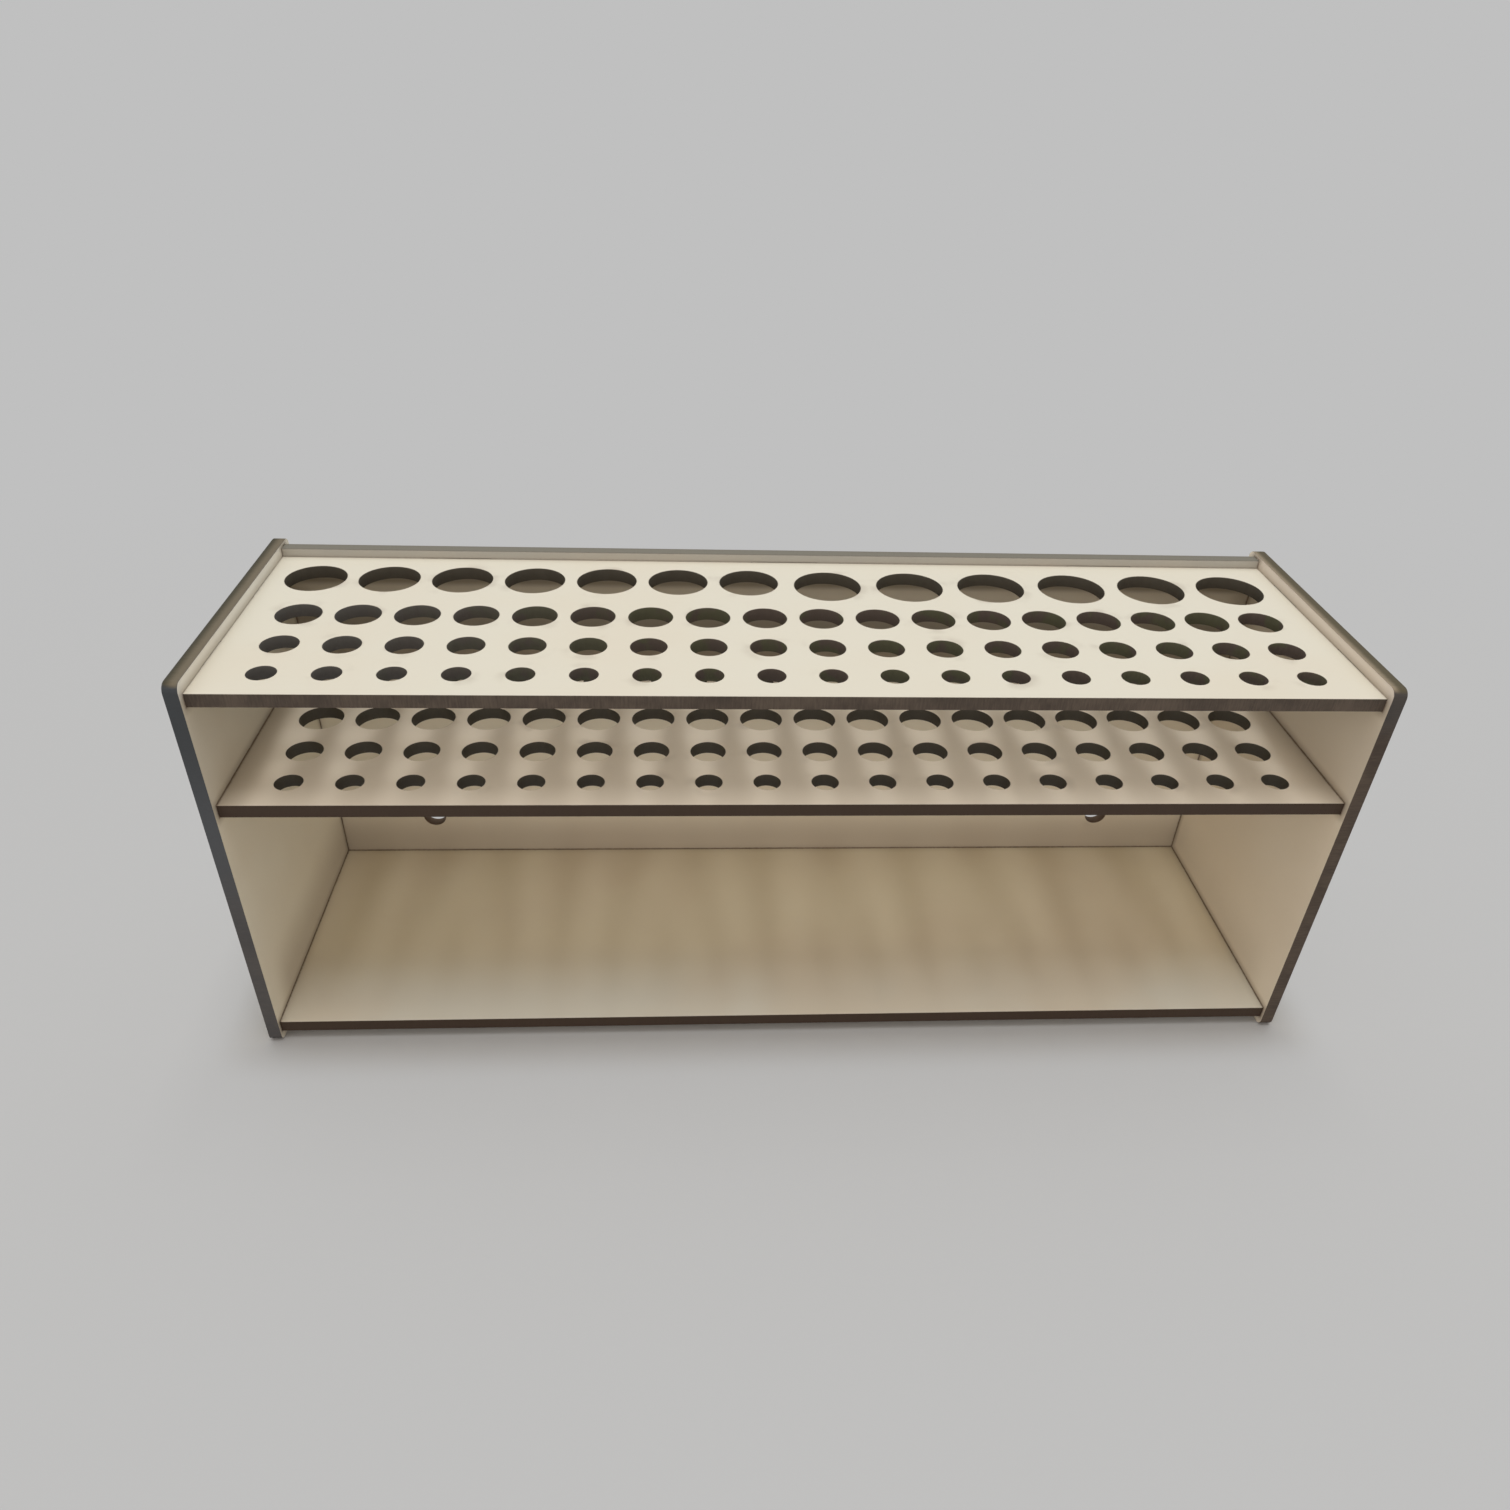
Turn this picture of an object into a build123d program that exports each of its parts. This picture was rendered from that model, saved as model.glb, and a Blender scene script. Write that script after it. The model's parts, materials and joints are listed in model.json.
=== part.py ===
from build123d import *

import os
from typing import NamedTuple

# Paintbrush rack of six laser-cut boards: two sides, a back, a bottom and two perforated shelves.
# Millimetres. X runs along the rack, the open front faces -Y, and Z is up.
# The origin is on the resting surface, under the middle of the rack.


class HoleRow(NamedTuple):
    """A row of equal brush holes, parallel to the shelf's front edge."""

    diameter: float
    count: int
    pitch: float
    first: float  # from the left side panel's inner face to the first hole's axis
    setback: float  # from the shelf's front edge to the row's axes


# Board stock
sheet = 3.0
slot_gap = 0.05  # between a tab and each wall of its slot

# Space between the boards
inner_width = 243.0
shelf_depth = 66.5
lower_shelf_drop = 26.6  # from the upper shelf's top face to the lower shelf's
bottom_drop = 89.6  # from the upper shelf's top face to the bottom panel's

# How far the side panels stand past the boards that they carry
front_lip = 1.7  # past the two shelves
bottom_front_lip = 1.0  # past the bottom panel
rear_lip = 3.0
top_lip = 2.8
foot = 2.5
side_corner_radius = 2.0
back_top_lip = 2.0  # the back panel's top edge above the upper shelf

# Brush holes
small_pitch = 12.85
small_count = 18
small_first = (inner_width - (small_count - 1) * small_pitch) / 2
brush_rows = (
    HoleRow(diameter=6.0, count=small_count, pitch=small_pitch, first=small_first, setback=8.6),
    HoleRow(diameter=8.0, count=small_count, pitch=small_pitch, first=small_first, setback=21.1),
    HoleRow(diameter=10.0, count=small_count, pitch=small_pitch, first=small_first, setback=35.4),
    HoleRow(diameter=14.0, count=7, pitch=16.85, first=11.1, setback=54.3),
    HoleRow(diameter=16.0, count=6, pitch=19.85, first=131.0, setback=52.8),
)

# Wall holes in the back panel
wall_hole_diameter = 6.0
wall_hole_inset = 26.0  # from the side panel's inner face
wall_hole_rise = 12.0  # above the bottom panel's top face

# Tabs that lock the boards together
shelf_tab_length = 12.0
shelf_tab_setbacks = (16.0, 50.0)  # from the shelf's front edge, at both ends
rear_tab_length = 16.0
rear_tab_offsets = (-80.0, 0.0, 80.0)  # from the middle of the rack
back_tab_length = 14.0

# Places worked out from the sizes above
side_depth = front_lip + shelf_depth + sheet + rear_lip
side_height = top_lip + bottom_drop + sheet + foot
inner_left = -inner_width / 2
inner_right = inner_width / 2
shelf_front = -side_depth / 2 + front_lip
bottom_front = -side_depth / 2 + bottom_front_lip
back_front = shelf_front + shelf_depth
upper_top = side_height - top_lip
lower_top = upper_top - lower_shelf_drop
bottom_top = upper_top - bottom_drop
shelf_tops = (upper_top, lower_top, bottom_top)
back_top = upper_top + back_top_lip
back_tab_heights = (
    (upper_top - sheet + lower_top) / 2,
    (lower_top - sheet + bottom_top) / 2,
)


def rectangle(x0, x1, y0, y1):
    """A rectangle given by its edges in the sketch's own X and Y."""
    return Pos((x0 + x1) / 2, (y0 + y1) / 2) * Rectangle(x1 - x0, y1 - y0)


def centred(x, y, width, height, gap=0.0):
    """A rectangle around a point, grown by a gap on every side."""
    return Pos(x, y) * Rectangle(width + 2 * gap, height + 2 * gap)


def brush_holes():
    """Circles for every brush hole, seen from above."""
    return [
        Pos(inner_left + row.first + i * row.pitch, shelf_front + row.setback) * Circle(row.diameter / 2)
        for row in brush_rows
        for i in range(row.count)
    ]


def shelf_outline(front):
    """A level board from above, with two tabs at each end and three along the rear edge."""
    outline = rectangle(inner_left, inner_right, front, back_front)
    for setback in shelf_tab_setbacks:
        y0 = shelf_front + setback - shelf_tab_length / 2
        outline += rectangle(inner_left - sheet, inner_right + sheet, y0, y0 + shelf_tab_length)
    for offset in rear_tab_offsets:
        x0 = offset - rear_tab_length / 2
        outline += rectangle(x0, x0 + rear_tab_length, back_front - sheet, back_front + sheet)
    return outline


def shelf_panel(top, front=shelf_front, holes=()):
    """A level board with its top face and its front edge at the given places."""
    outline = shelf_outline(front)
    if holes:
        outline -= holes
    return extrude(Pos(0, 0, top - sheet) * outline, amount=sheet)


def side_panel(x0):
    """A side panel whose left face is at x0, with a closed slot for every tab that enters it."""
    outline = Pos(0, side_height / 2) * RectangleRounded(side_depth, side_height, side_corner_radius)
    for top in shelf_tops:
        for setback in shelf_tab_setbacks:
            outline -= centred(shelf_front + setback, top - sheet / 2, shelf_tab_length, sheet, slot_gap)
    for height in back_tab_heights:
        outline -= centred(back_front + sheet / 2, height, sheet, back_tab_length, slot_gap)
    upright = Plane(origin=(x0, 0, 0), x_dir=(0, 1, 0), z_dir=(1, 0, 0))
    return extrude(upright * outline, amount=sheet)


def back_panel():
    """The back panel, with tabs into the sides, slots for the shelves' tabs and two wall holes."""
    outline = rectangle(inner_left, inner_right, 0, back_top)
    for height in back_tab_heights:
        y0 = height - back_tab_length / 2
        outline += rectangle(inner_left - sheet, inner_right + sheet, y0, y0 + back_tab_length)
    for top in shelf_tops:
        for offset in rear_tab_offsets:
            outline -= centred(offset, top - sheet / 2, rear_tab_length, sheet, slot_gap)
    for x in (inner_left + wall_hole_inset, inner_right - wall_hole_inset):
        outline -= Pos(x, bottom_top + wall_hole_rise) * Circle(wall_hole_diameter / 2)
    upright = Plane(origin=(0, back_front + sheet, 0), x_dir=(1, 0, 0), z_dir=(0, -1, 0))
    return extrude(upright * outline, amount=sheet)


panels = {
    "left_side_panel": side_panel(inner_left - sheet),
    "right_side_panel": side_panel(inner_right),
    "back_panel": back_panel(),
    "bottom_panel": shelf_panel(bottom_top, front=bottom_front),
    "upper_shelf": shelf_panel(upper_top, holes=brush_holes()),
    "lower_shelf": shelf_panel(lower_top, holes=brush_holes()),
}

os.makedirs("parts", exist_ok=True)
for name, panel in panels.items():
    panel.label = name
    export_step(panel, f"parts/{name}.step")
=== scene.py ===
import json
import math
from typing import NamedTuple

import bpy
from mathutils import Matrix, Vector


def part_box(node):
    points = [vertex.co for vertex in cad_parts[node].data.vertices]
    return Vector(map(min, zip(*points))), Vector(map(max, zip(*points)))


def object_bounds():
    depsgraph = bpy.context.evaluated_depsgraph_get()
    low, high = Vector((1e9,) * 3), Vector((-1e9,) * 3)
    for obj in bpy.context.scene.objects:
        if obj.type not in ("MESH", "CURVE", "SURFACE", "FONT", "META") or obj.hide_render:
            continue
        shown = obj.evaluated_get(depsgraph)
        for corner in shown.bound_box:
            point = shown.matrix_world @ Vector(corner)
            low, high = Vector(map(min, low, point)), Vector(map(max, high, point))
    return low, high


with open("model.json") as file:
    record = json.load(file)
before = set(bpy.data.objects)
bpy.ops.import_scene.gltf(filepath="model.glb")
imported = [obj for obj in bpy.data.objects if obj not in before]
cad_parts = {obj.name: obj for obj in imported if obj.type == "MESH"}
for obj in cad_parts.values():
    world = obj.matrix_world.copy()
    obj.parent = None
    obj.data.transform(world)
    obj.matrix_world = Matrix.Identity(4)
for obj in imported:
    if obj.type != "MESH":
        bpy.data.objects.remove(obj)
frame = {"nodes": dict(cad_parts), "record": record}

# Looks of a paintbrush rack of six laser-cut boards, standing on a pale floor.
# Objects are in metres. The materials work in millimetres, in the same frame.
cad_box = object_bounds()
MM = 0.001
X, Y, Z = range(3)

# Camera, fitted to the photograph's board edges and hole centres
CAMERA_PLACE = Vector((-23.1, -232.1, 208.3)) * MM
CAMERA_HEADING = 4.685  # degrees clockwise from +Y, seen from above
CAMERA_PITCH = -35.37  # degrees above the horizon
CAMERA_ROLL = 2.594  # degrees, with the right side of the camera raised
CAMERA_RANGE = (0.01, 50.0)  # metres to the nearest and farthest things it sees
IMAGE_SIDE = 1510  # pixels
IMAGE_CENTRE = (766.8, 805.9)  # pixels from the left and the top, on the camera's axis
FOCAL_LENGTH = 1129.3  # pixels
SENSOR = 36.0  # millimetres

# The light: a far soft box, and the room's colour by direction, in linear light
LAMP_PLACE = Vector((0.045, 0.03, 1.15))
LAMP_SIZE = (0.135, 0.86)
LAMP_POWER = 3.97
LAMP_COLOUR = (1.0, 1.0, 0.99)
ROOM_LOW_LEFT = (1.15, 1.01, 0.91)
ROOM_LOW_RIGHT = (0.90, 0.80, 0.72)
ROOM_LOW_REAR = (0.02, 0.02, 0.02)
ROOM_HIGH_LEFT = (0.76, 0.71, 0.66)
ROOM_HIGH_RIGHT = (0.405, 0.37, 0.333)
ROOM_HIGH_REAR = (1.11, 1.115, 1.10)

# Between which parts of a direction the room's colour changes
TO_FRONT = (0.25, -0.25)
TO_LEFT = (0.3, -0.3)
TO_TOP = (0.35, 0.65)

# The floor. Its colour gets plain in two steps away from the rack
FLOOR_RADIUS = 6.0  # metres
FLOOR_SIDES = 64
GROUND = (0.527, 0.527, 0.527)  # the plain colour
PAPER = (0.520, 0.527, 0.532)
PAPER_SPECK = (0.50, 0.50, 0.50)
PAPER_ROUGHNESS = 0.9
PAPER_GLOSS = 0.1
PLAIN_NEAR = (0.0, 14.0)  # the first step, in millimetres from the rack
PLAIN_FAR = (40.0, 380.0)  # the second step
NEAR_PLAIN = 0.6  # how plain the colour is after the first step

# Colours of the faces, in linear light. The boards share one finish: their colours differ partly as
# painted light and shade, each board lighter, darker or warmer as light falls on it
FACE = (0.720, 0.690, 0.588)
FACE_LOWER = (0.830, 0.750, 0.630)
FACE_LEFT = (0.86, 0.825, 0.70)
FACE_RIGHT = (0.835, 0.763, 0.63)
FACE_BACK = (0.80, 0.750, 0.62)
FACE_BOTTOM = (0.770, 0.692, 0.522)
# The bottom panel's face near the open front: painted light, paler where light falls in from the
# front
FACE_FRONT = (0.725, 0.705, 0.62)
# The faces' colours above the upper shelf: painted light and shade, lighter or darker as light falls
# on each strip
LIP_LEFT = (0.835, 0.82, 0.755)
LIP_RIGHT = (0.765, 0.69, 0.605)
LIP_BACK = (0.447, 0.440, 0.405)
TEA = (0.70, 0.60, 0.46)
# Painted shade near the bottom panel and between the shelves
PAINTED_SHADE = (0.40, 0.345, 0.277)
# Painted shade in the corners between the shelves and right beside the joints
JOINT_SHADE_TONE = (0.37, 0.315, 0.24)
SCORCH = (0.20, 0.135, 0.085)
# Painted shade low in the upper bay and right under the upper shelf
GLOOM = (0.235, 0.205, 0.155)
SEAM = (0.15, 0.095, 0.06)

# Colours of the charred edges, in linear light
CHAR_DARK = (0.075, 0.061, 0.050)
CHAR_LIGHT = (0.150, 0.122, 0.096)
# A painted cool reflection on the charred edges
CHAR_COOL = (0.084, 0.095, 0.108)
CHAR_NIGHT = (0.045, 0.053, 0.060)
CHAR_DEEP = (0.067, 0.059, 0.044)
CHAR_SOFT = (0.086, 0.086, 0.050)
CHAR_UMBER = (0.090, 0.070, 0.058)
CHAR_ASHEN = (0.096, 0.092, 0.086)
CHAR_BROWN = (0.051, 0.031, 0.019)
SINGED = (0.105, 0.063, 0.034)
# The top edges' colours: painted light and shade, lighter or darker as light falls from above
CROWN = (0.095, 0.079, 0.045)
CROWN_LEFT = (0.060, 0.052, 0.030)
CROWN_BACK = (0.190, 0.180, 0.148)
# A painted highlight on the top edges' inner side
PAINTED_HIGHLIGHT = (0.36, 0.295, 0.21)

# Noises: their scale for each millimetre, detail and roughness
CLOUD = (0.018, 3.0, 0.55)
GRAIN = (1.6, 4.0, 0.65)
PEEL = (2.6, 2.0, 0.5)
RAGGED = (1.1, 3.0, 0.6)
SPOTS = (0.11, 2.0, 0.5)
STREAKS = (2.4, 4.0, 0.62)
PATCHES = (0.12, 3.0, 0.6)
SPECKS = (0.9, 2.0, 0.5)
GRAIN_STRETCH = (0.25, 1.0, 1.0)
STREAK_STRETCH = 0.12  # how little the streaks change across a board's thickness

# Between which values a noise shows
CLOUD_SHOWS = (0.40, 0.68)
GRAIN_SHOWS = (0.58, 0.8)
SPOTS_SHOW = (0.56, 0.72)
TONE_SHOWS = (0.34, 0.66)
PATCHES_SHOW = (0.44, 0.56)
SPECKS_SHOW = (0.3, 0.7)

# Between which places a face's colour changes, in millimetres. Most of these bound painted light and
# shade: paler at the front, darker low down, in the upper bay, in the corners and beside the joints
TOWARDS_FRONT = (30.0, 4.0)  # from the board's front
BEHIND_FOOT = (3.0, 13.0)  # from the board's front
TOWARDS_BOTTOM = (24.0, 9.0)  # height
TOWARDS_UPPER_BAY = (62.0, 70.0)  # height
LOW_IN_UPPER_BAY = (87.0, 78.0)  # height
UNDER_UPPER_SHELF = (87.5, 89.3)  # height
OVER_UPPER_SHELF = (-1.0, -0.2)  # height, from the upper shelf's top
INTO_RACK = (1.6, 1.4)  # from the space between the panels
# Painted shade reaches these distances from the joints, in the corners and right beside them
CORNER_REACH = (7.0, 1.0)  # from the joints
JOINT_SHADE_REACH = (2.3, 0.0)  # from the joints
SEAM_REACH = (0.72, 0.16)  # from the joints, with the ragged noise added
SOOT_REACH = (3.2, 0.0)  # from the holes
RIM_REACH = (0.62, 0.12)  # from the holes and the outline, with the ragged noise added

# Between which places an edge's colour changes, in millimetres
COOL_RISE = (30.0, 62.0)  # height
MIDDLE_DEPTH = (0.0, 0.9)  # from the board's nearer face
HOLE_WALL = (0.4, 0.2)  # from the hole's wall
REAR_HOLES = (42.0, 47.0)  # from the board's front
ASHEN_SIDE = (-25.0, -110.0)  # along X, on the left
HIGHLIGHT_FADE = 1.9  # how wide the soft side of the painted highlight is

# How much of a colour shows, at most
GRAIN_SHARE = 0.14
SOOT_SHARE = 0.22
RIM_SHARE = 0.18
SPECK_SHARE = 0.06
COOL_SHARE = (0.6, 1.0)  # below and above the rise
CROWN_SHARE = (0.7, 1.0)  # beside a face and in the middle
FAINT_LIP = 0.58  # how much fainter the joints are above the upper shelf

# How far a noise moves the border of a colour, in millimetres
RAGGED_RIM = 0.5
RAGGED_SEAM = 0.35
STREAKED_MIDDLE = 0.3
STREAKED_HIGHLIGHT = 0.6

# A noise's share in a sum, where another noise has the rest
STREAKS_IN_TONE = 0.45
PEEL_IN_RELIEF = 0.6

# The boards: their kinds, corners, gloss and relief
LEVEL_BOARDS = ("upper_shelf", "lower_shelf", "bottom_panel")
SIDE_BOARDS = ("left_side_panel", "right_side_panel")
NO_HOLE = 100.0  # taken as the distance to the nearest hole on a board without any
TIP_GAP = 0.1  # how near a corner lies to the plane of a tab's tip
SAME_PLACE = 0.001 * MM
SAME_PLANE = math.radians(0.5)
SHARP = math.radians(40)
ROUNDING = 0.14 * MM
SQUARE_TO_FACE = (0.72, 0.94)  # the normal's part along the board's axis, from edge to face
LOOKING_UP = (0.5, 0.9)  # the normal's part along Z, from side to top
FACE_ROUGHNESS = (0.34, 0.50)
EDGE_ROUGHNESS = (0.62, 0.85)
RIM_ROUGHNESS = 0.25
BOARD_GLOSS = 0.35
FACE_RELIEF = {"Strength": 0.35, "Distance": 0.02 * MM}
EDGE_RELIEF = {"Strength": 0.8, "Distance": 0.12 * MM}


class Shader:
    """A node tree, with a short call for each kind of node.

    A value is a number, a colour or a socket.
    """

    def __init__(self, tree):
        self.tree = tree

    def feed(self, socket, value):
        if isinstance(value, bpy.types.NodeSocket):
            self.tree.links.new(value, socket)
        else:
            socket.default_value = value

    def add(self, kind, inputs=None, **settings):
        node = self.tree.nodes.new(kind)
        for name, value in settings.items():
            setattr(node, name, value)
        for key, value in (inputs or {}).items():
            self.feed(node.inputs[key], value)
        return node

    def math(self, operation, *values):
        return self.add("ShaderNodeMath", dict(enumerate(values)), operation=operation).outputs[0]

    def product(self, *values):
        found = values[0]
        for value in values[1:]:
            found = self.math("MULTIPLY", found, value)
        return found

    def blend(self, first, second, share):
        """Two values added up, the first by its share and the second by the rest."""
        return self.math("ADD", self.product(first, share), self.product(second, 1.0 - share))

    def least(self, values):
        found = values[0]
        for value in values[1:]:
            found = self.math("MINIMUM", found, value)
        return found

    def vector(self, operation, *values):
        node = self.add("ShaderNodeVectorMath", dict(enumerate(values)), operation=operation)
        return node.outputs[0]

    def length(self, value):
        return self.add("ShaderNodeVectorMath", {0: value}, operation="LENGTH").outputs["Value"]

    def scale(self, value, factors):
        return self.vector("MULTIPLY", value, factors)

    def split(self, value):
        return self.add("ShaderNodeSeparateXYZ", {0: value}).outputs

    def join(self, x, y):
        return self.add("ShaderNodeCombineXYZ", {0: x, 1: y}).outputs[0]

    def step(self, value, start, end):
        """0 at start and 1 at end, smooth between them. start may be the larger."""
        inputs = {"Value": value, "From Min": start, "From Max": end}
        node = self.add("ShaderNodeMapRange", inputs, interpolation_type="SMOOTHSTEP")
        return node.outputs["Result"]

    def span(self, value, low, high):
        """A value from 0 to 1, spread from low to high."""
        inputs = {"Value": value, "To Min": low, "To Max": high}
        return self.add("ShaderNodeMapRange", inputs).outputs["Result"]

    def mix(self, share, first, second):
        """The first colour at 0 and the second at 1."""
        colours = {0: share, 6: colour(first), 7: colour(second)}
        return self.add("ShaderNodeMix", colours, data_type="RGBA").outputs[2]

    def tint(self, base, other, *shares):
        """A base colour with another over it, as much as the product of the shares."""
        return self.mix(self.product(*shares), base, other)

    def noise(self, place, scale, detail, roughness):
        inputs = {"Vector": place, "Scale": scale, "Detail": detail, "Roughness": roughness}
        return self.add("ShaderNodeTexNoise", inputs, noise_dimensions="3D").outputs["Fac"]


def colour(value):
    """A colour with its alpha, or the socket that was given."""
    return value if isinstance(value, bpy.types.NodeSocket) else (*value, 1.0)


def new_group(name, inputs, output):
    """An empty node group and its shader, input sockets and output socket."""
    tree = bpy.data.node_groups.new(name, "ShaderNodeTree")
    for label, kind in inputs.items():
        tree.interface.new_socket(label, in_out="INPUT", socket_type=kind)
    tree.interface.new_socket(output, in_out="OUTPUT", socket_type="NodeSocketFloat")
    s = Shader(tree)
    return tree, s, s.add("NodeGroupInput").outputs, s.add("NodeGroupOutput").inputs[0]


def box_distance_group():
    """How far a place is from a box, and 0 inside it."""
    kinds = {"Place": "NodeSocketVector", "Centre": "NodeSocketVector", "Half": "NodeSocketVector"}
    tree, s, given, result = new_group("box_distance", kinds, "Distance")
    offset = s.vector("ABSOLUTE", s.vector("SUBTRACT", given["Place"], given["Centre"]))
    beyond = s.vector("MAXIMUM", s.vector("SUBTRACT", offset, given["Half"]), (0.0, 0.0, 0.0))
    s.feed(result, s.length(beyond))
    return tree


def row_distance_group():
    """How far a point of a board's face is from the nearest hole's wall in a row of equal holes."""
    names = ("Along", "Across", "First", "Pitch", "Last", "Row", "Radius")
    kinds = dict.fromkeys(names, "NodeSocketFloat")
    tree, s, given, result = new_group("row_distance", kinds, "Distance")
    steps = s.math("DIVIDE", s.math("SUBTRACT", given["Along"], given["First"]), given["Pitch"])
    nearest = s.math("MAXIMUM", s.math("MINIMUM", s.math("ROUND", steps), given["Last"]), 0.0)
    centre = s.math("MULTIPLY_ADD", nearest, given["Pitch"], given["First"])
    along = s.math("SUBTRACT", given["Along"], centre)
    across = s.math("SUBTRACT", given["Across"], given["Row"])
    s.feed(result, s.math("SUBTRACT", s.length(s.join(along, across)), given["Radius"]))
    return tree


def box_mm(node):
    """A node's lowest and highest corners, in millimetres."""
    low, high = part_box(node)
    return low / MM, high / MM


BOX_DISTANCE = box_distance_group()
ROW_DISTANCE = row_distance_group()
INNER_LEFT = box_mm("left_side_panel")[1].x
INNER_RIGHT = box_mm("right_side_panel")[0].x
BACK_FRONT = box_mm("back_panel")[0].y
SHELF_TOP = box_mm("upper_shelf")[1].z
RACK = tuple(Vector(corner) / MM for corner in cad_box)
BETWEEN_PANELS = (
    Vector((INNER_LEFT, RACK[0].y, RACK[0].z)),
    Vector((INNER_RIGHT, BACK_FRONT, RACK[1].z)),
)


def body_box(node):
    """A board's box without its tabs."""
    low, high = box_mm(node)
    if node not in SIDE_BOARDS:
        low.x, high.x = INNER_LEFT, INNER_RIGHT
    if node in LEVEL_BOARDS:
        high.y = BACK_FRONT
    return low, high


def tab_boxes(node):
    """The boxes of a board's tabs. A tab's ends show as a pair of values along the board's edge."""
    low, high = box_mm(node)
    inner_low, inner_high = body_box(node)
    along = Y if node in LEVEL_BOARDS else Z
    sides = [(X, along, low.x, INNER_LEFT), (X, along, INNER_RIGHT, high.x)]
    if node in LEVEL_BOARDS:
        sides.append((Y, X, BACK_FRONT, high.y))
    places = [vertex.co / MM for vertex in frame["nodes"][node].data.vertices]
    boxes = []
    for out, way, start, end in sides:
        tip = start if out == X and end == INNER_LEFT else end
        ends = sorted({round(p[way], 2) for p in places if abs(p[out] - tip) < TIP_GAP})
        for first, last in zip(ends[::2], ends[1::2]):
            corner, opposite = inner_low.copy(), inner_high.copy()
            corner[out], opposite[out] = start, end
            corner[way], opposite[way] = first, last
            boxes.append((corner, opposite))
    return boxes


def overlap(first, second):
    """True if two boxes share some space."""
    for way in (X, Y, Z):
        if first[0][way] >= second[1][way] or second[0][way] >= first[1][way]:
            return False
    return True


def neighbours(node):
    """The boxes of the other boards, and of those of their tabs that sit in this board."""
    others = [name for name in frame["nodes"] if name != node]
    boxes = [body_box(name) for name in others]
    for name in others:
        if name not in SIDE_BOARDS:
            boxes += [tab for tab in tab_boxes(name) if overlap(tab, body_box(node))]
    return boxes


def hole_rows():
    """Each row of brush holes: first axis, pitch, last hole's number, the row's place, the radius."""
    rows = {}
    for mount in frame["record"]["mounts"]:
        if mount["kind"] == "bore":
            rows.setdefault(mount["dims"]["r_mm"], []).append(Vector(mount["pos_m"]) / MM)
    found = []
    for radius, places in rows.items():
        last = len(places) - 1
        pitch = (places[-1].x - places[0].x) / last
        found.append((places[0].x, pitch, last, places[0].y, radius))
    return found


def wall_hole_row():
    """The two wall holes, as a row along X at their height."""
    mount = next(m for m in frame["record"]["mounts"] if m["name"] == "wall_holes")
    spacing = mount["dims"]["spacing_x_mm"]
    return (-spacing / 2, spacing, 1, mount["pos_m"][Z] / MM, mount["dims"]["hole_r_mm"])


def hole_distance(s, axes, rows):
    """How far a point is from the wall of the nearest hole."""
    names = ("First", "Pitch", "Last", "Row", "Radius")
    found = []
    for row in rows:
        inputs = {"Along": axes[0], "Across": axes[1], **dict(zip(names, row))}
        found.append(s.add("ShaderNodeGroup", inputs, node_tree=ROW_DISTANCE).outputs[0])
    return s.least(found)


def box_distance(s, place, boxes):
    """How far a point is from the nearest of some boxes."""
    found = []
    for low, high in boxes:
        inputs = {"Place": place, "Centre": (low + high) / 2, "Half": (high - low) / 2}
        found.append(s.add("ShaderNodeGroup", inputs, node_tree=BOX_DISTANCE).outputs[0])
    return s.least(found)


class Spot(NamedTuple):
    """Where a point of a board lies, in millimetres, and shares from 0 to 1. Most are sockets."""

    place: object
    axes: object  # its place as X, Y and Z
    holes: object  # how far it is from the nearest hole's wall
    seams: object  # how far it is from the nearest other board
    outline: object  # how far it is from the board's outline
    depth: object  # how far it is from the board's nearer face
    front: object  # how far it is from the board's front
    outward: object  # how far it is outwards from the side panels' inner faces
    face: object  # 1 on the board's faces, and 0 on its edges
    rise: object  # 1 where it looks up
    inner: object  # 1 between the panels
    high: object  # 1 between the panels and above the upper shelf


class Look(NamedTuple):
    """How one board differs from the others."""

    face: tuple = FACE
    front: tuple = None  # the face's colour near the open front, if it differs: painted light, paler where light falls in from the front
    lip: tuple = None  # the face's colour above the upper shelf, if it differs: painted light and shade
    clouds: float = 0.25  # how much the face's colour wanders
    low: float = 0.0  # how much painted shade darkens the face near the bottom panel
    foot: bool = False  # True if its painted shade near the bottom panel fades out near the open front
    nook: float = 0.0  # how much painted shade darkens the face between the two shelves
    gloom: float = 0.0  # how much darker painted shade makes it there, low down
    under: float = 0.0  # how much darker painted shade makes it there, right under the upper shelf
    corner: float = 0.0  # how much painted shade darkens the corners between the two shelves
    joint_shade: float = 0.25  # how much painted shade darkens the face right beside the joints
    seam: float = 0.74  # how dark the joint lines are
    deep: float = 0.0  # how much darker and browner the charred edge is
    cool: float = 0.0  # how blue the charred edge is: a painted cool reflection, stronger higher up
    night: float = 0.0  # how much darker and bluer the charred edge is near its upper end
    dusk: tuple = (58.0, 90.0)  # the heights between which it darkens
    crown: tuple = CROWN  # the top edge's colour: painted light and shade, as light falls from above
    worn: float = 0.0  # how pale the top edge is on its inner side: a painted highlight
    reach: float = 2.1  # how far from the inner side the painted highlight on the top edge reaches
    bore: tuple = CHAR_DEEP  # the hole walls' colour, except in the rearmost rows
    umber: float = 0.0  # how brown the hole walls are in patches
    ashen: float = 0.0  # how grey the hole walls are on the left


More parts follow.
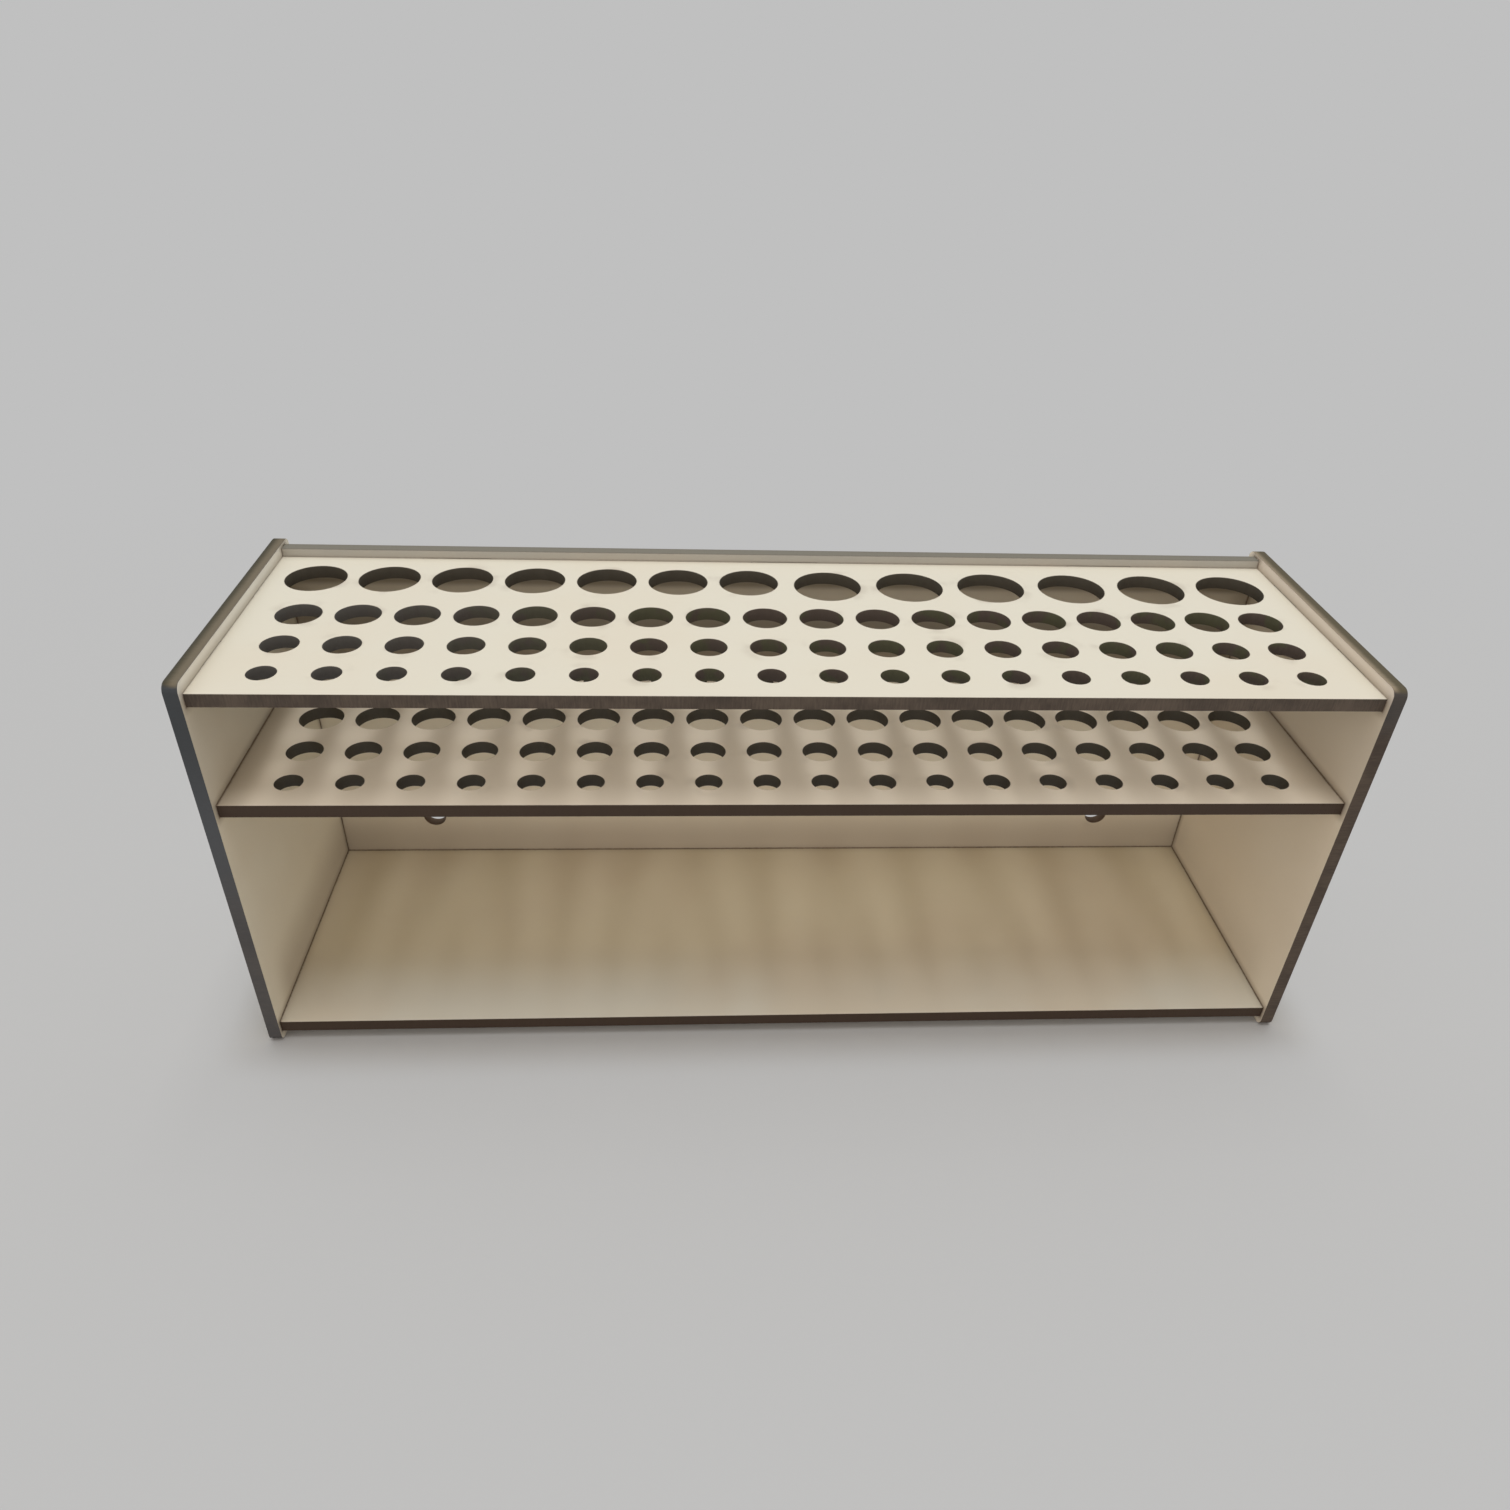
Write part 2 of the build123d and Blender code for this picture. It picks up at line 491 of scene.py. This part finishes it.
def find_spot(s, node, axis, holes):
    """Where each point of a board lies. The board's faces are square to the axis."""
    where = s.add("ShaderNodeTexCoord")
    place = s.scale(where.outputs["Object"], (1 / MM,) * 3)
    axes = s.split(place)
    normal = s.split(where.outputs["Normal"])
    low, high = body_box(node)
    gaps = []
    for way in (X, Y, Z):
        above = s.math("SUBTRACT", axes[way], low[way])
        below = s.math("SUBTRACT", high[way], axes[way])
        gaps.append(s.math("MINIMUM", above, below))
    depth = gaps.pop(axis)
    across = [axes[way] for way in (X, Y, Z) if way != axis]
    inner = s.step(box_distance(s, place, [BETWEEN_PANELS]), *INTO_RACK)
    over = s.step(axes[Z], *[SHELF_TOP + rise for rise in OVER_UPPER_SHELF])
    return Spot(
        place=place,
        axes=axes,
        holes=hole_distance(s, across, holes) if holes else NO_HOLE,
        seams=box_distance(s, place, neighbours(node)),
        outline=s.least(gaps),
        depth=depth,
        front=s.math("SUBTRACT", axes[Y], low.y),
        outward=s.math("SUBTRACT", s.math("ABSOLUTE", axes[X]), INNER_RIGHT),
        face=s.step(s.math("ABSOLUTE", normal[axis]), *SQUARE_TO_FACE),
        rise=s.step(normal[Z], *LOOKING_UP),
        inner=inner,
        high=s.product(over, inner),
    )


def board_faces(s, spot, look):
    """The pale faces: their colour with painted light and shade, their roughness and relief."""
    height = spot.axes[Z]
    grain = s.noise(s.scale(spot.place, GRAIN_STRETCH), *GRAIN)
    ragged = s.noise(spot.place, *RAGGED)
    # Painted light near the open front
    base = s.mix(s.step(spot.front, *TOWARDS_FRONT), look.face, look.front or look.face)
    # Painted light and shade above the upper shelf
    base = s.mix(spot.high, base, look.lip or look.face)
    base = s.tint(base, TEA, s.step(s.noise(spot.place, *CLOUD), *CLOUD_SHOWS), look.clouds)
    base = s.tint(base, TEA, s.step(grain, *GRAIN_SHOWS), GRAIN_SHARE)
    soot = s.step(s.noise(spot.place, *SPOTS), *SPOTS_SHOW)
    base = s.tint(base, SCORCH, s.step(spot.holes, *SOOT_REACH), soot, SOOT_SHARE)
    # Painted shade near the bottom panel
    low = [s.step(height, *TOWARDS_BOTTOM), spot.inner]
    if look.foot:
        low.append(s.step(spot.front, *BEHIND_FOOT))
    base = s.tint(base, PAINTED_SHADE, *low, look.low)
    # Painted shade between the shelves: darker through the upper bay, more so low down and right
    # under the upper shelf
    bay = s.product(s.step(height, *TOWARDS_UPPER_BAY), s.math("SUBTRACT", spot.inner, spot.high))
    base = s.tint(base, PAINTED_SHADE, bay, look.nook)
    # Painted shade low in the upper bay, and right under the upper shelf
    base = s.tint(base, GLOOM, s.step(height, *LOW_IN_UPPER_BAY), look.gloom, bay)
    base = s.tint(base, GLOOM, s.step(height, *UNDER_UPPER_SHELF), look.under, bay)
    # Painted shade in the corners between the shelves and right beside the joints
    base = s.tint(base, JOINT_SHADE_TONE, s.step(spot.seams, *CORNER_REACH), look.corner, bay)
    base = s.tint(base, JOINT_SHADE_TONE, s.step(spot.seams, *JOINT_SHADE_REACH), look.joint_shade)
    border = s.math("MINIMUM", spot.holes, spot.outline)
    rim = s.step(s.math("MULTIPLY_ADD", ragged, RAGGED_RIM, border), *RIM_REACH)
    base = s.tint(base, SCORCH, rim, RIM_SHARE)
    joint = s.step(s.math("MULTIPLY_ADD", ragged, RAGGED_SEAM, spot.seams), *SEAM_REACH)
    faint = s.math("MULTIPLY_ADD", spot.high, -FAINT_LIP * look.seam, look.seam)
    base = s.tint(base, SEAM, joint, faint)
    rough = s.math("ADD", s.span(grain, *FACE_ROUGHNESS), s.product(rim, RIM_ROUGHNESS))
    return base, rough, s.blend(s.noise(spot.place, *PEEL), grain, PEEL_IN_RELIEF)


def board_edges(s, spot, axis, look):
    """The charred laser-cut edges, darker in the holes: their colour with painted light, shade and a
    painted cool reflection, their roughness and relief.
    """
    height = spot.axes[Z]
    stretch = [1.0, 1.0, 1.0]
    stretch[axis] = STREAK_STRETCH
    streaks = s.noise(s.scale(spot.place, tuple(stretch)), *STREAKS)
    patches = s.noise(spot.place, *PATCHES)
    tone = s.blend(streaks, patches, STREAKS_IN_TONE)
    base = s.mix(s.step(tone, *TONE_SHOWS), CHAR_DARK, CHAR_LIGHT)
    base = s.tint(base, CHAR_BROWN, look.deep)
    # A painted cool reflection, stronger higher up
    base = s.tint(base, CHAR_COOL, s.span(s.step(height, *COOL_RISE), *COOL_SHARE), look.cool)
    base = s.tint(base, CHAR_NIGHT, s.step(height, *look.dusk), look.night)
    # Painted light and shade on the upward-facing edges
    middle = s.step(s.math("MULTIPLY_ADD", streaks, STREAKED_MIDDLE, spot.depth), *MIDDLE_DEPTH)
    base = s.tint(base, look.crown, s.span(middle, *CROWN_SHARE), spot.rise)
    # A painted highlight on the top edges' inner side
    side = s.math("MULTIPLY_ADD", streaks, STREAKED_HIGHLIGHT, spot.outward)
    pale = s.step(side, look.reach, look.reach - HIGHLIGHT_FADE)
    base = s.tint(base, PAINTED_HIGHLIGHT, pale, look.worn, spot.rise)
    bore = s.tint(look.bore, CHAR_UMBER, s.step(patches, *PATCHES_SHOW), look.umber)
    bore = s.tint(bore, CHAR_ASHEN, s.step(spot.axes[X], *ASHEN_SIDE), look.ashen)
    bore = s.tint(bore, CHAR_DEEP, s.step(spot.front, *REAR_HOLES))
    base = s.tint(base, bore, s.step(spot.holes, *HOLE_WALL))
    return base, s.span(tone, *EDGE_ROUGHNESS), streaks


def board_material(node, look, holes):
    """A board with pale faces and charred edges."""
    material = bpy.data.materials.new(node + "_finish")
    material.use_nodes = True
    s = Shader(material.node_tree)
    s.tree.nodes.clear()
    axis = Z if node in LEVEL_BOARDS else X if node in SIDE_BOARDS else Y
    spot = find_spot(s, node, axis, holes)
    face_base, face_rough, face_relief = board_faces(s, spot, look)
    edge_base, edge_rough, edge_relief = board_edges(s, spot, axis, look)
    fine = s.add("ShaderNodeBump", {"Height": face_relief, **FACE_RELIEF})
    coarse = s.add("ShaderNodeBump", {"Height": edge_relief, **EDGE_RELIEF})
    both_bumps = {0: spot.face, 4: coarse.outputs[0], 5: fine.outputs[0]}
    bumps = s.add("ShaderNodeMix", both_bumps, data_type="VECTOR")
    rough = s.add("ShaderNodeMix", {0: spot.face, 2: edge_rough, 3: face_rough}, data_type="FLOAT")
    shade = s.add("ShaderNodeBsdfPrincipled", {
        "Base Color": s.mix(spot.face, edge_base, face_base),
        "Roughness": rough.outputs[0],
        "Normal": bumps.outputs[1],
        "Specular IOR Level": BOARD_GLOSS,
    })
    s.add("ShaderNodeOutputMaterial", {"Surface": shade.outputs[0]})
    return material


def dress(node, material):
    """Gives a board its finish, and softens its sharp edges as a cut board's are."""
    piece = frame["nodes"][node]
    piece.data.materials.clear()
    piece.data.materials.append(material)
    weld = piece.modifiers.new("weld", "WELD")
    weld.merge_threshold = SAME_PLACE
    flat = piece.modifiers.new("flat", "DECIMATE")
    flat.decimate_type = "DISSOLVE"
    flat.angle_limit = SAME_PLANE
    bevel = piece.modifiers.new("bevel", "BEVEL")
    bevel.width = ROUNDING
    bevel.segments = 2
    bevel.limit_method = "ANGLE"
    bevel.angle_limit = SHARP
    bevel.harden_normals = True


def seen_directly(s):
    """1 for rays from the camera, and for mirrored and clear views of the ground."""
    rays = s.add("ShaderNodeLightPath").outputs
    seen = s.math("MAXIMUM", rays["Is Camera Ray"], rays["Is Glossy Ray"])
    return s.math("MAXIMUM", seen, rays["Is Transmission Ray"])


def make_floor():
    """A round pale floor. Away from the rack its colour gets plain, so that no horizon shows."""
    mesh = bpy.data.meshes.new("floor")
    corners = []
    for i in range(FLOOR_SIDES):
        turn = 2 * math.pi * i / FLOOR_SIDES
        corners.append((FLOOR_RADIUS * math.cos(turn), FLOOR_RADIUS * math.sin(turn), 0.0))
    mesh.from_pydata(corners, [], [list(range(FLOOR_SIDES))])
    floor = bpy.data.objects.new("floor", mesh)
    bpy.context.scene.collection.objects.link(floor)
    material = bpy.data.materials.new("floor")
    material.use_nodes = True
    s = Shader(material.node_tree)
    s.tree.nodes.clear()
    place = s.scale(s.add("ShaderNodeTexCoord").outputs["Object"], (1 / MM,) * 3)
    away = box_distance(s, place, [RACK])
    near = s.math("MULTIPLY", s.step(away, *PLAIN_NEAR), NEAR_PLAIN)
    far = s.math("MULTIPLY_ADD", s.step(away, *PLAIN_FAR), 1.0 - NEAR_PLAIN, near)
    speck = s.step(s.noise(place, *SPECKS), *SPECKS_SHOW)
    paper = s.add("ShaderNodeBsdfPrincipled", {
        "Base Color": s.tint(PAPER, PAPER_SPECK, speck, SPECK_SHARE),
        "Roughness": PAPER_ROUGHNESS,
        "Specular IOR Level": PAPER_GLOSS,
    })
    plain = s.add("ShaderNodeEmission", {"Color": colour(GROUND)})
    share = s.math("MULTIPLY", far, seen_directly(s))
    both = s.add("ShaderNodeMixShader", {0: share, 1: paper.outputs[0], 2: plain.outputs[0]})
    s.add("ShaderNodeOutputMaterial", {"Surface": both.outputs[0]})
    mesh.materials.append(material)


def make_light():
    """A long soft box overhead, and a room that is bright low in front and high behind."""
    data = bpy.data.lights.new("soft_box", "AREA")
    data.shape = "RECTANGLE"
    data.size, data.size_y = LAMP_SIZE
    data.energy = LAMP_POWER
    data.color = LAMP_COLOUR
    lamp = bpy.data.objects.new("soft_box", data)
    lamp.location = LAMP_PLACE
    lamp.rotation_euler.x = math.atan2(LAMP_PLACE.y, LAMP_PLACE.z)
    bpy.context.scene.collection.objects.link(lamp)

    world = bpy.data.worlds.new("room")
    bpy.context.scene.world = world
    world.use_nodes = True
    s = Shader(world.node_tree)
    s.tree.nodes.clear()
    way = s.split(s.add("ShaderNodeTexCoord").outputs["Generated"])
    front = s.step(way[Y], *TO_FRONT)
    left = s.step(way[X], *TO_LEFT)
    low = s.mix(front, ROOM_LOW_REAR, s.mix(left, ROOM_LOW_RIGHT, ROOM_LOW_LEFT))
    high = s.mix(front, ROOM_HIGH_REAR, s.mix(left, ROOM_HIGH_RIGHT, ROOM_HIGH_LEFT))
    room = s.mix(s.step(way[Z], *TO_TOP), low, high)
    lit = s.add("ShaderNodeBackground", {"Color": room, "Strength": 1.0})
    plain = s.add("ShaderNodeBackground", {"Color": colour(GROUND), "Strength": 1.0})
    seen = seen_directly(s)
    both = s.add("ShaderNodeMixShader", {0: seen, 1: lit.outputs[0], 2: plain.outputs[0]})
    s.add("ShaderNodeOutputWorld", {"Surface": both.outputs[0]})


def make_camera():
    """The photograph's view."""
    data = bpy.data.cameras.new("camera")
    data.sensor_width = SENSOR
    data.lens = FOCAL_LENGTH * SENSOR / IMAGE_SIDE
    data.shift_x = (IMAGE_SIDE / 2 - IMAGE_CENTRE[0]) / IMAGE_SIDE
    data.shift_y = (IMAGE_CENTRE[1] - IMAGE_SIDE / 2) / IMAGE_SIDE
    data.clip_start, data.clip_end = CAMERA_RANGE
    camera = bpy.data.objects.new("camera", data)
    heading = Matrix.Rotation(math.radians(-CAMERA_HEADING), 4, "Z")
    pitch = Matrix.Rotation(math.radians(90 + CAMERA_PITCH), 4, "X")
    roll = Matrix.Rotation(math.radians(CAMERA_ROLL), 4, "Z")
    camera.matrix_world = Matrix.Translation(CAMERA_PLACE) @ heading @ pitch @ roll
    bpy.context.scene.collection.objects.link(camera)
    bpy.context.scene.camera = camera


LOOKS = {
    "upper_shelf": Look(joint_shade=0.0, seam=0.38, deep=0.28, bore=CHAR_SOFT, umber=1.0, ashen=1.0),
    "lower_shelf": Look(face=FACE_LOWER, corner=0.5, joint_shade=0.2, deep=0.92),
    "bottom_panel": Look(face=FACE_BOTTOM, front=FACE_FRONT, clouds=0.5, joint_shade=0.2, deep=0.95),
    "back_panel": Look(
        face=FACE_BACK,
        lip=LIP_BACK,
        low=0.68,
        nook=0.47,
        gloom=0.9,
        under=1.0,
        corner=0.5,
        joint_shade=0.15,
        crown=CROWN_BACK,
        bore=SINGED,
    ),
    "left_side_panel": Look(
        face=FACE_LEFT,
        lip=LIP_LEFT,
        low=0.5,
        foot=True,
        nook=0.32,
        joint_shade=0.6,
        deep=0.42,
        cool=0.9,
        night=0.75,
        crown=CROWN_LEFT,
        worn=0.33,
        reach=3.0,
    ),
    "right_side_panel": Look(
        face=FACE_RIGHT,
        lip=LIP_RIGHT,
        low=0.2,
        foot=True,
        nook=0.3,
        joint_shade=0.65,
        deep=0.45,
        night=0.5,
        dusk=(84.0, 93.0),
        worn=0.8,
        reach=2.0,
    ),
}
HOLES = {
    "upper_shelf": hole_rows(),
    "lower_shelf": hole_rows(),
    "back_panel": [wall_hole_row()],
}

bpy.context.scene.view_settings.view_transform = "Standard"
make_camera()
make_light()
make_floor()
for name, look in LOOKS.items():
    dress(name, board_material(name, look, HOLES.get(name)))
